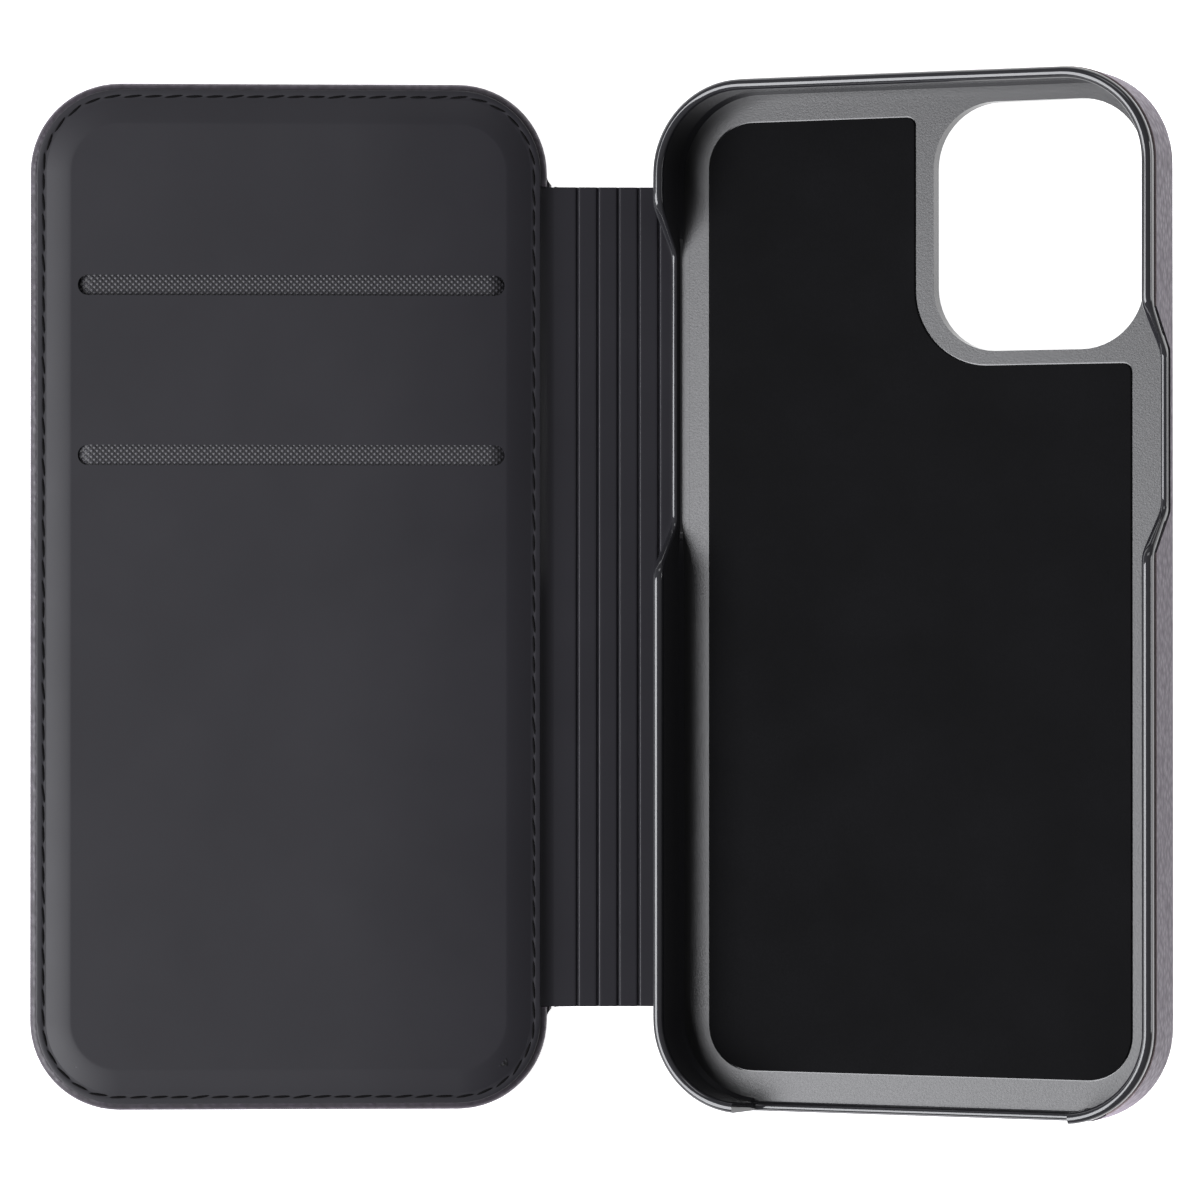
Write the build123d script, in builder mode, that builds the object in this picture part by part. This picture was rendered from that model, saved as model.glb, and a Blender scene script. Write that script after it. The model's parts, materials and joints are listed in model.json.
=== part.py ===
"""Folio phone wallet case, lying open.

A padded cover with two card pockets lies on its outer face. A ribbed spine of six bands joins it
to a hard tray for the phone, which stands propped up on the edge where the spine meets it.
Lengths are millimetres and angles are degrees. The origin is the middle of the cover's outer
face, +X runs from the cover to the tray, +Y to the camera end and +Z up.
"""
import os
from math import cos, radians, sin, tan

from build123d import *

# The phone that the case is made for
phone_width = 64.2
phone_length = 131.5
phone_depth = 7.4
phone_corner = 9.9
phone_clearance = 0.15

# The hard tray
tray_wall = 1.6
tray_floor = 1.3
tray_tilt = 24.8
rim_above_phone = 0.75
rim_rounding = 0.55
lip_overhang = 0.35
lip_height = 1.1

# The leather on the back and round the sides of the tray
wrap_thickness = 0.75
wrap_rounding = 1.35
rim_band = 1.9

# Cut-outs in the tray's walls, measured along their low edge
ramp_run = 6.0
cut_low_edge = 1.25
cut_rounding = 1.0
cut_band = 1.1
cut_overrun = 1.0
buttons_cut_length = 36.2
buttons_cut_centre = 27.6
power_cut_length = 20.0
power_cut_centre = 21.2
port_cut_length = 44.0

# The camera window
window_width = 28.8
window_length = 32.6
window_corner = 8.5
window_side_web = 1.2
window_top_web = 1.3
window_ring = 0.8

# The soft pad that the phone lies on
pad_border = 2.95
pad_corner = 6.0
pad_small_corner = 1.2
pad_inner_corner = 10.0
pad_thickness = 0.45
pad_recess = 0.3
pad_gap = 0.15
pad_beside_window = 2.6
pad_below_window = 1.9

# The cover
cover_narrower_than_tray = 0.4
cover_longer_than_tray = 0.2
cover_corner = 11.9
cover_edge_height = 2.3
cover_edge_rounding = 0.95
cover_swell = 1.1
cover_swell_slope = 35
board_thickness = 1.1
board_clearance = 0.05
turned_edge_width = 3.5
lining_inset = 0.9
swell_inset = 4.2
padding_rise = 0.25
padding_clearance = 0.1
padding_side_gap = 0.4

# Leather and lining sheets
skin_thickness = 0.6
core_thickness = 0.3
lining_thickness = 0.4

# Card pockets
card_width = 54.0
card_slot_clearance = 2.7
card_slot_height = 2.7
card_slot_shift = 0.35
lower_slot_above_edge = 85.8
slot_spacing = 22.6
pocket_fabric = 0.25
pocket_air = 0.1
pocket_side_margin = 0.3
pocket_top_margin = 3.0
pocket_floor_margin = 1.6
card_in_pocket = 80.2

# Stitching round the cover
stitch_inset = 1.85
stitch_pitch = 2.7
stitch_length = 2.1
thread_width = 0.4
thread_height = 0.2

# Hidden magnets in the cover and the steel strips that they hold on to
magnet_length = 20.0
magnet_width = 4.0
magnet_thickness = 0.9
magnet_inset = 5.2
closure_centre = -32.0
closure_spacing = 24.0
keeper_thickness = 0.5
keeper_height = 4.6
keeper_above_floor = 0.8

# The spine: its bands bend at grooves, and it closes round the tray's side
spine_end_straight = 1.7
spine_fillet = 2.0
spine_fillet_margin = 0.1
band_count = 6
first_band = 3.38
hinge_beyond_cover = 0.7
groove_bend = 18.0
closing_gap = 0.55
hinge_gap = 0.1
relief_margin = 1.5
spine_side_gap = 0.5

# Sizes that follow from those above
bay_width = phone_width + 2 * phone_clearance
bay_length = phone_length + 2 * phone_clearance
bay_corner = phone_corner + phone_clearance
shell_thickness = tray_wall + wrap_thickness
tray_width = bay_width + 2 * shell_thickness
tray_length = bay_length + 2 * shell_thickness
tray_corner = bay_corner + shell_thickness
floor_level = wrap_thickness + tray_floor
rim_level = floor_level + phone_depth + rim_above_phone
lip_level = rim_level - lip_height
cut_level = floor_level + cut_low_edge
wrap_top = rim_level - rim_band
window_x = bay_width / 2 - window_side_web - window_width / 2
window_y = bay_length / 2 - window_top_web - window_length / 2

cover_width = tray_width - cover_narrower_than_tray
cover_length = tray_length + cover_longer_than_tray
cover_edge_x = cover_width / 2
spine_length = cover_length - 2 * (cover_corner + spine_end_straight)
spine_root = min(spine_fillet, spine_end_straight - spine_fillet_margin)
board_top = skin_thickness + board_thickness
swell_level = cover_edge_height + lining_thickness + cover_swell
lining_underside = swell_level - lining_thickness
spine_thickness = skin_thickness + core_thickness + lining_thickness

closed_stack = rim_level + swell_level + closing_gap
end_bend = (180 - groove_bend * (band_count - 1)) / 2
later_band_rise = sum(
    sin(radians(end_bend + groove_bend * step)) for step in range(1, band_count)
)
later_band = (closed_stack - first_band * sin(radians(end_bend))) / later_band_rise
cover_hinge_x = cover_edge_x + hinge_beyond_cover
hinge_lines = [cover_hinge_x, cover_hinge_x + first_band]
for step in range(1, band_count):
    hinge_lines.append(hinge_lines[-1] + later_band)
hinge_bends = [end_bend] + [groove_bend] * (band_count - 1) + [end_bend]
tray_hinge_x = hinge_lines[-1]

# Planes of the tray: its outer back face, one across it and one along it
tilt_cos = cos(radians(tray_tilt))
tilt_sin = sin(radians(tray_tilt))
tray_across = (tilt_cos, 0, tilt_sin)
tray_upwards = (-tilt_sin, 0, tilt_cos)
tray_middle = (
    tray_hinge_x + tray_width / 2 * tilt_cos,
    0,
    tray_width / 2 * tilt_sin,
)
tray_back = Plane(origin=tray_middle, x_dir=tray_across, z_dir=tray_upwards)
tray_side_plane = Plane(origin=tray_middle, x_dir=(0, 1, 0), z_dir=tray_across)
tray_end_plane = Plane(origin=tray_middle, x_dir=tray_across, z_dir=(0, -1, 0))


def relief(bend, height):
    """How far a band's end stands back from its hinge line at a height, to leave room to bend."""
    return hinge_gap / 2 + height * tan(radians(bend / 2 + relief_margin))


def cut_out(plane, centre, low_length, grow=0.0):
    """The outline of a cut-out in a tray wall: a low edge with a ramp at each end."""
    low = cut_level - grow
    slope = (rim_level - cut_level) / ramp_run
    half_low = low_length / 2 + grow * (1 + slope**2) ** 0.5 / slope - grow / slope
    above = rim_level + cut_overrun
    half_high = half_low + (above - low) / slope
    with BuildSketch(plane) as profile:
        with BuildLine():
            Polyline(
                (centre - half_low, low),
                (centre + half_low, low),
                (centre + half_high, above),
                (centre - half_high, above),
                close=True,
            )
        make_face()
        fillet(profile.vertices().group_by(Axis.Y)[0], cut_rounding)
    return profile.sketch


def rounded_plate(width, length, corner, inset=0.0):
    """A rounded rectangle drawn inside another by an inset."""
    return RectangleRounded(width - 2 * inset, length - 2 * inset, corner - inset)


# The outline of the one leather sheet that is the cover's outside and the spine
with BuildSketch() as leather_outline:
    RectangleRounded(cover_width, cover_length, cover_corner)
    with Locations(((cover_edge_x + tray_hinge_x) / 2, 0)):
        Rectangle(tray_hinge_x - cover_edge_x + hinge_gap, spine_length)
    for end in (-1, 1):
        root = leather_outline.vertices().sort_by_distance((cover_edge_x, end * spine_length / 2))[0]
        fillet(root, spine_root)


def spine_strip(start, start_bend, end, end_bend, low, high):
    """One sheet of the spine between two hinge lines, its ends sloped to leave room to bend."""
    with BuildPart() as strip:
        with BuildSketch(Plane.XZ):
            with BuildLine():
                Polyline(
                    (start + relief(start_bend, low), low),
                    (end - relief(end_bend, low), low),
                    (end - relief(end_bend, high), high),
                    (start + relief(start_bend, high), high),
                    close=True,
                )
            make_face()
        extrude(amount=spine_length, both=True)
        extrude(leather_outline.sketch, amount=spine_thickness, mode=Mode.INTERSECT)
    return strip.part


# Cover: outer leather, turned in over the board all round but at the spine
with BuildPart() as cover_leather:
    with BuildSketch():
        rounded_plate(cover_width, cover_length, cover_corner)
    extrude(amount=cover_edge_height)
    rims = cover_leather.faces().filter_by(Plane.XY).edges()
    fillet(rims, cover_edge_rounding)
    with BuildSketch(Plane.XY.offset(skin_thickness)):
        rounded_plate(cover_width, cover_length, cover_corner, skin_thickness)
    extrude(amount=board_thickness, mode=Mode.SUBTRACT)
    with BuildSketch(Plane.XY.offset(board_top)):
        rounded_plate(cover_width, cover_length, cover_corner, turned_edge_width)
    extrude(amount=cover_edge_height, mode=Mode.SUBTRACT)
    with BuildSketch():
        with Locations((cover_edge_x, 0)):
            Rectangle(2 * turned_edge_width, spine_length)
    extrude(amount=cover_edge_height, mode=Mode.SUBTRACT)
    add(
        spine_strip(
            cover_edge_x - turned_edge_width - hinge_gap,
            0,
            cover_hinge_x,
            end_bend,
            0,
            skin_thickness,
        )
    )
cover_leather.part.label = "cover_leather"

# Cover: stiff board, with two pockets for the magnets
with BuildPart() as closure_magnets:
    with BuildSketch(Plane.XY.offset(board_top - magnet_thickness)):
        with Locations((-cover_edge_x + magnet_inset, closure_centre)):
            with GridLocations(1, closure_spacing, 1, 2):
                Rectangle(magnet_width, magnet_length)
    extrude(amount=magnet_thickness)
closure_magnets.part.label = "closure_magnets"

with BuildPart() as cover_board:
    with BuildSketch(Plane.XY.offset(skin_thickness)):
        rounded_plate(cover_width, cover_length, cover_corner, skin_thickness + board_clearance)
    extrude(amount=board_thickness)
    add(closure_magnets.part, mode=Mode.SUBTRACT)
cover_board.part.label = "cover_board"

# Cover: padding that fills the turned-in edge and rises into the lining's swell
raised_padding_inset = swell_inset + lining_thickness + padding_side_gap
with BuildPart() as cover_padding:
    with BuildSketch(Plane.XY.offset(board_top)):
        rounded_plate(
            cover_width, cover_length, cover_corner, turned_edge_width + padding_clearance
        )
    extrude(amount=cover_edge_height - board_top)
    with BuildSketch(Plane.XY.offset(cover_edge_height)):
        rounded_plate(cover_width, cover_length, cover_corner, raised_padding_inset)
    extrude(amount=padding_rise)
cover_padding.part.label = "cover_padding"

# Cover: the card slots' places and the woven fabric behind each
lower_slot_y = -cover_length / 2 + lower_slot_above_edge + card_slot_height / 2
upper_slot_y = lower_slot_y + slot_spacing
card_slot_width = card_width + card_slot_clearance
fabric_base = cover_edge_height + padding_rise + pocket_air / 2
pocket_floor_y = -cover_length / 2 + swell_inset + pocket_floor_margin


def pocket_sheet(slot_y, layer, name):
    """The fabric behind one card slot, from above the slot down to the pocket's floor."""
    top = slot_y + card_slot_height / 2 + pocket_top_margin
    bottom = max(slot_y - card_slot_height / 2 - card_in_pocket, pocket_floor_y)
    with BuildPart() as sheet:
        sheet_base = fabric_base + layer * (pocket_fabric + pocket_air)
        with BuildSketch(Plane.XY.offset(sheet_base)) as outline:
            with Locations((card_slot_shift, (top + bottom) / 2)):
                Rectangle(card_slot_width + 2 * pocket_side_margin, top - bottom)
            fillet(outline.vertices().group_by(Axis.Y)[0], cover_corner - swell_inset)
        extrude(amount=pocket_fabric)
    sheet.part.label = name
    return sheet.part


upper_pocket_fabric = pocket_sheet(upper_slot_y, 0, "upper_pocket_fabric")
lower_pocket_fabric = pocket_sheet(lower_slot_y, 1, "lower_pocket_fabric")

# Cover: lining with its swelled middle, two card slots and a skirt down to the spine
with BuildPart() as cover_lining:
    with BuildSketch(Plane.XY.offset(cover_edge_height)):
        rounded_plate(cover_width, cover_length, cover_corner, lining_inset)
    extrude(amount=lining_thickness)
    with BuildSketch(Plane.XY.offset(cover_edge_height + lining_thickness)):
        rounded_plate(cover_width, cover_length, cover_corner, swell_inset)
    extrude(amount=cover_swell, taper=cover_swell_slope)
    with BuildSketch(Plane.XY.offset(cover_edge_height)):
        rounded_plate(cover_width, cover_length, cover_corner, swell_inset + lining_thickness)
    extrude(amount=cover_swell, taper=cover_swell_slope, mode=Mode.SUBTRACT)
    skirt_length = spine_length - hinge_gap
    with BuildSketch(Plane.XY.offset(cover_edge_height)):
        with Locations((cover_edge_x - turned_edge_width / 2, 0)):
            Rectangle(turned_edge_width, skirt_length)
    extrude(amount=lining_thickness)
    with BuildSketch(Plane.XY.offset(skin_thickness)):
        with Locations((cover_edge_x - lining_thickness / 2, 0)):
            Rectangle(lining_thickness, skirt_length)
    extrude(amount=cover_edge_height - skin_thickness)
    with BuildSketch(Plane.XY.offset(cover_edge_height)):
        with Locations((card_slot_shift, upper_slot_y), (card_slot_shift, lower_slot_y)):
            SlotOverall(card_slot_width, card_slot_height)
    extrude(amount=swell_level, mode=Mode.SUBTRACT)
cover_lining.part.label = "cover_lining"

# Cover: the row of stitches round its edge
with BuildSketch() as stitch_line:
    rounded_plate(cover_width, cover_length, cover_corner, stitch_inset)
stitch_path = stitch_line.sketch.face().outer_wire()
stitch_count = round(stitch_path.length / stitch_pitch)
stitch_places = [
    Plane(
        origin=stitch_path.position_at(index / stitch_count),
        x_dir=stitch_path.tangent_at(index / stitch_count),
        z_dir=(0, 0, 1),
    ).offset(cover_edge_height + lining_thickness)
    for index in range(stitch_count)
]
with BuildPart() as cover_stitching:
    with Locations(*stitch_places):
        Box(
            stitch_length,
            thread_width,
            thread_height,
            align=(Align.CENTER, Align.CENTER, Align.MIN),
        )
cover_stitching.part.label = "cover_stitching"

# Spine: outer leather, stiff core and lining of each band, numbered from the cover
spine_sheets = {
    "spine_leather": (0, skin_thickness),
    "spine_core": (skin_thickness, skin_thickness + core_thickness),
    "spine_lining": (skin_thickness + core_thickness, spine_thickness),
}
spine_pieces = []
for band in range(band_count):
    for sheet_name, (low, high) in spine_sheets.items():
        piece = spine_strip(
            hinge_lines[band],
            hinge_bends[band],
            hinge_lines[band + 1],
            hinge_bends[band + 1],
            low,
            high,
        )
        piece.label = f"{sheet_name}_{band + 1}"
        spine_pieces.append(piece)

# Tray: leather on its back and round its sides, flat out to the spine's hinge
tray_up = Axis(tray_middle, tray_upwards)
with BuildPart() as tray_leather:
    with BuildSketch(tray_back):
        rounded_plate(tray_width, tray_length, tray_corner)
    extrude(amount=wrap_top)
    fillet(tray_leather.faces().sort_by(tray_up)[0].edges(), wrap_rounding)
    offset(amount=-wrap_thickness, openings=tray_leather.faces().sort_by(tray_up)[-1])
    extrude(
        cut_out(tray_side_plane, buttons_cut_centre, buttons_cut_length, cut_band),
        amount=-tray_width,
        mode=Mode.SUBTRACT,
    )
    extrude(
        cut_out(tray_side_plane, power_cut_centre, power_cut_length, cut_band),
        amount=tray_width,
        mode=Mode.SUBTRACT,
    )
    extrude(
        cut_out(tray_end_plane, 0, port_cut_length, cut_band),
        amount=tray_length,
        mode=Mode.SUBTRACT,
    )
    with BuildSketch(tray_back):
        with Locations((window_x, window_y)):
            rounded_plate(window_width, window_length, window_corner, -window_ring)
    extrude(amount=floor_level, mode=Mode.SUBTRACT)
    with BuildSketch(tray_back):
        with Locations((-tray_width / 2, 0)):
            Rectangle(2 * wrap_rounding, spine_length + 2 * spine_side_gap)
    extrude(amount=rim_level, mode=Mode.SUBTRACT)
    flap_slope = relief(end_bend, wrap_thickness)
    with BuildSketch(tray_end_plane):
        with BuildLine():
            Polyline(
                (-tray_width / 2 + hinge_gap / 2, 0),
                (-tray_width / 2 + 2 * wrap_rounding, 0),
                (-tray_width / 2 + 2 * wrap_rounding, wrap_thickness),
                (-tray_width / 2 + flap_slope, wrap_thickness),
                close=True,
            )
        make_face()
    extrude(amount=spine_length / 2, both=True)
tray_leather.part.label = "tray_leather"

# Tray: steel strips behind the leather, for the cover's magnets
keeper_plane = tray_side_plane.offset(tray_width / 2 - wrap_thickness - keeper_thickness)
keeper_middle = floor_level + keeper_above_floor + keeper_height / 2
with BuildPart() as keeper_strips:
    with BuildSketch(keeper_plane):
        with Locations((closure_centre, keeper_middle)):
            with GridLocations(closure_spacing, 1, 2, 1):
                Rectangle(magnet_length, keeper_height)
    extrude(amount=keeper_thickness)
keeper_strips.part.label = "keeper_strips"


def pad_outline(grow=0.0):
    """The pad's outline in its recess, which steps back from the camera window's corner."""
    half_width = bay_width / 2 - pad_border + grow
    half_length = bay_length / 2 - pad_border + grow
    step_x = window_x - window_width / 2 - pad_beside_window + grow
    step_y = window_y - window_length / 2 - pad_below_window + grow
    with BuildSketch(tray_back.offset(floor_level - pad_recess)) as outline:
        with BuildLine():
            Polyline(
                (-half_width, -half_length),
                (half_width, -half_length),
                (half_width, step_y),
                (step_x, step_y),
                (step_x, half_length),
                (-half_width, half_length),
                close=True,
            )
        make_face()
        corners = {
            (-half_width, -half_length): pad_corner + grow,
            (half_width, -half_length): pad_corner + grow,
            (-half_width, half_length): pad_corner + grow,
            (half_width, step_y): pad_small_corner + grow,
            (step_x, half_length): pad_small_corner + grow,
            (step_x, step_y): pad_inner_corner - grow,
        }
        for place, radius in corners.items():
            fillet(outline.vertices().sort_by_distance(place)[0], radius)
    return outline.sketch


# Tray: the pad that the phone lies on, in a shallow recess
with BuildPart() as tray_pad:
    extrude(pad_outline(), amount=pad_thickness)
tray_pad.part.label = "tray_pad"

# Tray: the hard shell, its walls cut down for the buttons and the port
with BuildPart() as phone_tray:
    with BuildSketch(tray_back):
        rounded_plate(tray_width, tray_length, tray_corner)
    extrude(amount=rim_level)
    fillet(phone_tray.faces().sort_by(tray_up)[0].edges(), wrap_rounding)
    with BuildSketch(tray_back.offset(floor_level)):
        rounded_plate(bay_width, bay_length, bay_corner)
    extrude(amount=lip_level - floor_level, mode=Mode.SUBTRACT)
    with BuildSketch(tray_back.offset(lip_level)):
        rounded_plate(bay_width, bay_length, bay_corner, lip_overhang)
    extrude(amount=lip_height, mode=Mode.SUBTRACT)
    fillet(phone_tray.faces().sort_by(tray_up)[-1].edges(), rim_rounding)
    extrude(
        cut_out(tray_side_plane, buttons_cut_centre, buttons_cut_length),
        amount=-tray_width,
        mode=Mode.SUBTRACT,
    )
    extrude(
        cut_out(tray_side_plane, power_cut_centre, power_cut_length),
        amount=tray_width,
        mode=Mode.SUBTRACT,
    )
    extrude(
        cut_out(tray_end_plane, 0, port_cut_length),
        amount=tray_length,
        mode=Mode.SUBTRACT,
    )
    with BuildSketch(tray_back):
        with Locations((window_x, window_y)):
            rounded_plate(window_width, window_length, window_corner)
    extrude(amount=rim_level, mode=Mode.SUBTRACT)
    with BuildSketch(tray_back):
        with Locations((-tray_width / 2, 0)):
            Rectangle(2 * wrap_thickness, spine_length + 2 * spine_side_gap)
    extrude(amount=wrap_top, mode=Mode.SUBTRACT)
    extrude(pad_outline(pad_gap), amount=pad_thickness, mode=Mode.SUBTRACT)
    add(tray_leather.part, mode=Mode.SUBTRACT)
    add(keeper_strips.part, mode=Mode.SUBTRACT)
phone_tray.part.label = "phone_tray"

os.makedirs("parts", exist_ok=True)
finished_pieces = [
    cover_leather.part,
    cover_board.part,
    closure_magnets.part,
    cover_padding.part,
    upper_pocket_fabric,
    lower_pocket_fabric,
    cover_lining.part,
    cover_stitching.part,
    *spine_pieces,
    tray_leather.part,
    keeper_strips.part,
    tray_pad.part,
    phone_tray.part,
]
for piece in finished_pieces:
    export_step(piece, f"parts/{piece.label}.step")
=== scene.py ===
# %% [markdown]
# # A folio phone wallet case
# The real case is a hard moulded tray, a padded cover and one sheet of embossed leather that runs
# round all of it. The imported CAD model is the frame: its parts are in metres, and every new piece
# is made where the matching CAD part is. Sizes could be typed in a second time, but then the two
# models would drift apart, so they are measured from the frame.

# %% Load the frame
import json
from math import cos, degrees, pi, radians, sin

import bmesh
import bpy
from mathutils import Matrix, Vector


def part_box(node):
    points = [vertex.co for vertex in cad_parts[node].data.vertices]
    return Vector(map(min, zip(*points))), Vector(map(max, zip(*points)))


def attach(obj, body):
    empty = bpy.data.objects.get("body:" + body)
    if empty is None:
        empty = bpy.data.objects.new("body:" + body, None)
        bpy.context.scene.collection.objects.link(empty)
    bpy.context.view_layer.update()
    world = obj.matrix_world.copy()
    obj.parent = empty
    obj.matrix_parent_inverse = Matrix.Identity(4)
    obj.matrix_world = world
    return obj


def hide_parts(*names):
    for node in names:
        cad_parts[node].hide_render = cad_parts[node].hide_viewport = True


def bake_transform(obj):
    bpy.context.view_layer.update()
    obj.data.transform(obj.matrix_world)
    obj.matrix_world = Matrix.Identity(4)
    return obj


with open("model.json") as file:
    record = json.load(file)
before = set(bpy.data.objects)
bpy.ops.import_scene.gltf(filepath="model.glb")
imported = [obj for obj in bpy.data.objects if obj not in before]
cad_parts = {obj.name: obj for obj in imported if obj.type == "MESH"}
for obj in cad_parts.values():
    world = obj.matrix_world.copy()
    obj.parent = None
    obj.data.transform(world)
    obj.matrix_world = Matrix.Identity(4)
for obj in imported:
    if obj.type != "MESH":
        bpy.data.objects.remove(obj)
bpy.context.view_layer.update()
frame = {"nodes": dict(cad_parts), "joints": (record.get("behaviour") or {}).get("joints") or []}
MM = 0.001

# %% [markdown]
# ## Places taken from the frame
# The hinge lines of the spine run along Y, so each is one X. The joints give them. The tray
# leans, so it has a frame of its own: `across` points from its hinge to its far wall, `outward`
# from its back towards the phone. The lean isn't stored anywhere, but a flat slab that leans has a
# taller box, so the height of the pad's box gives it. Halving the range of angles again and again
# is slower than a formula, and easier to follow.

# %% Hinge lines and the tray's own frame
joints = frame["joints"]
hinge_lines = [joint["pos_m"][0] for joint in joints]
pad_low, pad_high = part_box("tray_pad")
tray_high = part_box("phone_tray")[1]
PAD_THICKNESS = 0.45 * MM
PAD_WIDTH = 58.6 * MM


def lean_of(width, thickness, box_height):
    """The angle at which a flat slab's box has that height, found by halving."""
    low, high = 0.0, pi / 4
    close_enough = 1e-7
    while high - low > close_enough:
        middle = (low + high) / 2
        if width * sin(middle) + thickness * cos(middle) < box_height:
            low = middle
        else:
            high = middle
    return (low + high) / 2


tray_lean = lean_of(PAD_WIDTH, PAD_THICKNESS, pad_high.z - pad_low.z)
across = Vector((cos(tray_lean), 0, sin(tray_lean)))
outward = Vector((-sin(tray_lean), 0, cos(tray_lean)))
tray_hinge = Vector((hinge_lines[-1], 0, 0))
cover_low, cover_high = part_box("cover_leather")
cover_half_width = -cover_low.x
spine_half_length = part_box("spine_leather_3")[1].y
print(f"tray leans {degrees(tray_lean):.1f} degrees, spine is {2 * spine_half_length / MM:.1f} mm")


def on_tray(u, v, w):
    """A point given across, along and out of the tray's back, in the frame."""
    return tray_hinge + across * u + Vector((0, v, 0)) + outward * w


# %% [markdown]
# ## One way to add a shader node
# Every material is a graph of nodes, which could be drawn by hand in the Shader Editor. In a
# script, one small function adds a node, sets its options, fills its inputs with numbers or links
# them to other nodes, and returns it, so each pattern below reads as a chain of steps. Colours are
# written as sRGB hex, as a paint chart gives them, and turned to the linear values that the
# renderer works in.

# %% Node and colour helpers
def linear(hex_colour):
    """An sRGB hex colour as linear red, green, blue and alpha."""
    channels = [int(hex_colour[at : at + 2], 16) / 255 for at in (1, 3, 5)]
    turned = [c / 12.92 if c <= 0.04045 else ((c + 0.055) / 1.055) ** 2.4 for c in channels]
    return (*turned, 1)


def add_node(tree, kind, settings=None, inputs=None):
    """Adds a node; an input that is a socket is linked, and any other value is set."""
    node = tree.nodes.new("ShaderNode" + kind)
    for name, value in (settings or {}).items():
        setattr(node, name, value)
    for name, value in (inputs or {}).items():
        if isinstance(value, bpy.types.NodeSocket):
            tree.links.new(value, node.inputs[name])
        else:
            node.inputs[name].default_value = value
    return node


def new_material(name, colour, roughness, **surface):
    """A material with a Principled surface; returns it with its tree, shader and coordinates."""
    material = bpy.data.materials.new(name)
    material.use_nodes = True
    tree = material.node_tree
    shader = tree.nodes["Principled BSDF"]
    shader.inputs["Base Color"].default_value = linear(colour)
    shader.inputs["Roughness"].default_value = roughness
    for socket, value in surface.items():
        shader.inputs[socket.replace("_", " ")].default_value = value
    place = add_node(tree, "TexCoord").outputs["Object"]
    return material, tree, shader, place


def ramp(tree, factor, *stops):
    """A colour ramp through (position, hex colour) stops."""
    node = add_node(tree, "ValToRGB", None, {"Fac": factor})
    while len(node.color_ramp.elements) < len(stops):
        node.color_ramp.elements.new(0.5)
    for element, (position, colour) in zip(node.color_ramp.elements, stops):
        element.position = position
        element.color = linear(colour)
    return node.outputs["Color"]


def bump(tree, shader, height, depth, strength=1.0, under=None):
    """Presses a 0 to 1 height into the surface, depth metres deep."""
    inputs = {"Strength": strength, "Distance": depth, "Height": height}
    if under is not None:
        inputs["Normal"] = under
    node = add_node(tree, "Bump", None, inputs)
    tree.links.new(node.outputs["Normal"], shader.inputs["Normal"])
    return node.outputs["Normal"]


def remap(tree, value, low, high):
    """Takes a 0 to 1 value to a range."""
    inputs = {"Value": value, "To Min": low, "To Max": high}
    return add_node(tree, "MapRange", None, inputs).outputs["Result"]


def noise(tree, place, size, detail=3.0):
    """Noise whose blotches are about size metres across."""
    inputs = {"Vector": place, "Scale": 1 / size, "Detail": detail}
    return add_node(tree, "TexNoise", None, inputs).outputs["Fac"]


# %% [markdown]
# ## Embossed leather
# The outside is split leather with a polyurethane film, pressed between plates that leave a fine
# pebble grain. A picture of leather would repeat and blur close up, so the grain is worked out.
# The pebbles are the cells of a Voronoi texture, 0.9 mm across and domed, because a cell's value
# grows from its middle to its edge. Noise pushes the cells about, or they would look like a
# honeycomb. The film has a satin gloss, rougher in the valleys between pebbles, and a faint
# violet sheen at low angles. The valleys are also painted darker than the pebbles' tops, as
# painted shade.

# %% Pebbled leather
def pebbled_leather():
    material, tree, shader, place = new_material("pebbled_leather", "#262328", 0.46)
    shader.inputs["Sheen Weight"].default_value = 0.25
    shader.inputs["Sheen Roughness"].default_value = 0.4
    shader.inputs["Sheen Tint"].default_value = linear("#E4C6EA")
    pushes_per_metre = 450
    push = 0.6 * MM
    pebbles_per_metre = 1100
    warped = add_node(
        tree, "TexNoise", None, {"Vector": place, "Scale": pushes_per_metre, "Detail": 2.0}
    )
    shift = add_node(
        tree,
        "VectorMath",
        {"operation": "MULTIPLY_ADD"},
        {0: warped.outputs["Color"], 1: (push,) * 3, 2: place},
    )
    cell = {"feature": "SMOOTH_F1"}
    size = {"Vector": shift.outputs["Vector"], "Scale": pebbles_per_metre, "Smoothness": 0.35}
    pebbles = add_node(tree, "TexVoronoi", cell, size).outputs["Distance"]
    rounded = remap(tree, pebbles, 1.0, 0.0)
    fine = noise(tree, place, 0.18 * MM)
    # Painted shade: the valleys between pebbles are darker than the tops
    shade = ramp(tree, pebbles, (0.0, "#302A33"), (0.75, "#1E1A20"))
    tree.links.new(shade, shader.inputs["Base Color"])
    tree.links.new(remap(tree, pebbles, 0.4, 0.62), shader.inputs["Roughness"])
    under = bump(tree, shader, rounded, 0.07 * MM, 0.9)
    bump(tree, shader, fine, 0.012 * MM, 0.5, under)
    return material


# %% [markdown]
# ## Smooth lining
# The inside is a thin soft-touch synthetic leather. It is nearly flat in colour and almost matte,
# with a grain so fine that it only softens the light, and faint wide clouds where the glue under
# it took unevenly. Its soft finish is rubbed smoother towards the spine, where it is pressed and
# bent, so there it spreads less light and looks darker. One Map Range on the X coordinate does
# that for the cover and the spine together, with no seam between the pieces.

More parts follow.
